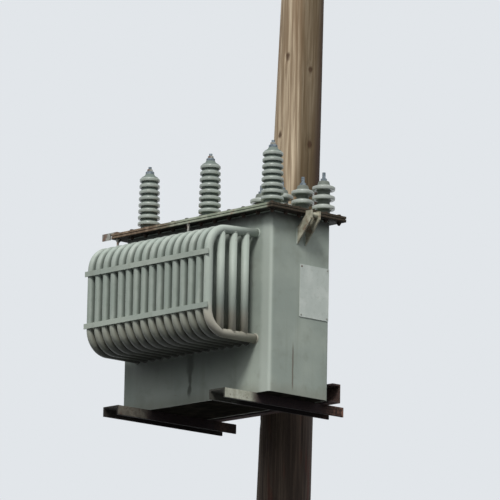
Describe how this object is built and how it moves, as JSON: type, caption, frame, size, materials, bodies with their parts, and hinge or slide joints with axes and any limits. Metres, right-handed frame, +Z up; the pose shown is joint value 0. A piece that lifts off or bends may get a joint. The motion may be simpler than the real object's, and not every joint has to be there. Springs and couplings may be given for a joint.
{
  "type": "pole mounted transformer",
  "caption": "Oil-filled distribution transformer with a bank of bent cooling tubes and ribbed bushings, on channels bolted to a wooden pole.",
  "frame": {"origin": "centre of the pole's foot, at ground level", "axes": "+Z up; X along the long side of the tank; -Y is the front, where the tube bank stands"},
  "size_m": [1.254, 1.1168, 7],
  "materials": {
    "pole_wood": "weathered",
    "tank_paint": "weathered satin",
    "lid_paint": "rusting satin",
    "channel_steel": "dark, rusting",
    "bolt_steel": "dull zinc",
    "gasket_rubber": "matt",
    "porcelain": "glazed",
    "terminal_metal": "tarnished",
    "plate_metal": "dull"
  },
  "bodies": {
    "root": {"bearer_left": "channel_steel", "bearer_right": "channel_steel", "cross_channel_lower": "channel_steel", "cross_channel_upper": "channel_steel", "gasket": "gasket_rubber", "hv_bushing_centre": "porcelain", "hv_bushing_left": "porcelain", "hv_bushing_right": "porcelain", "hv_flanges": "tank_paint", "hv_terminal_centre": "terminal_metal", "hv_terminal_left": "terminal_metal", "hv_terminal_right": "terminal_metal", "lid": "lid_paint", "lid_angle": "bolt_steel", "lifting_lug_left": "tank_paint", "lifting_lug_right": "tank_paint", "lv_bushing_1": "porcelain", "lv_bushing_2": "porcelain", "lv_bushing_3": "porcelain", "lv_bushing_4": "porcelain", "lv_terminals": "terminal_metal", "pole": "pole_wood", "rating_plate": "plate_metal", "strap_lower": "tank_paint", "strap_upper": "tank_paint", "tank_floor": "tank_paint", "tank_hooks": "tank_paint", "tank_rim": "lid_paint", "tank_walls": "tank_paint", "through_bolt_lower": "bolt_steel", "through_bolt_upper": "bolt_steel", "tube_column_01": "tank_paint", "tube_column_02": "tank_paint", "tube_column_03": "tank_paint", "tube_column_04": "tank_paint", "tube_column_05": "tank_paint", "tube_column_06": "tank_paint", "tube_column_07": "tank_paint", "tube_column_08": "tank_paint", "tube_column_09": "tank_paint", "tube_column_10": "tank_paint", "tube_column_11": "tank_paint", "tube_column_12": "tank_paint", "tube_column_13": "tank_paint", "tube_column_14": "tank_paint", "tube_column_15": "tank_paint", "tube_column_16": "tank_paint"}
  },
  "joints": []
}
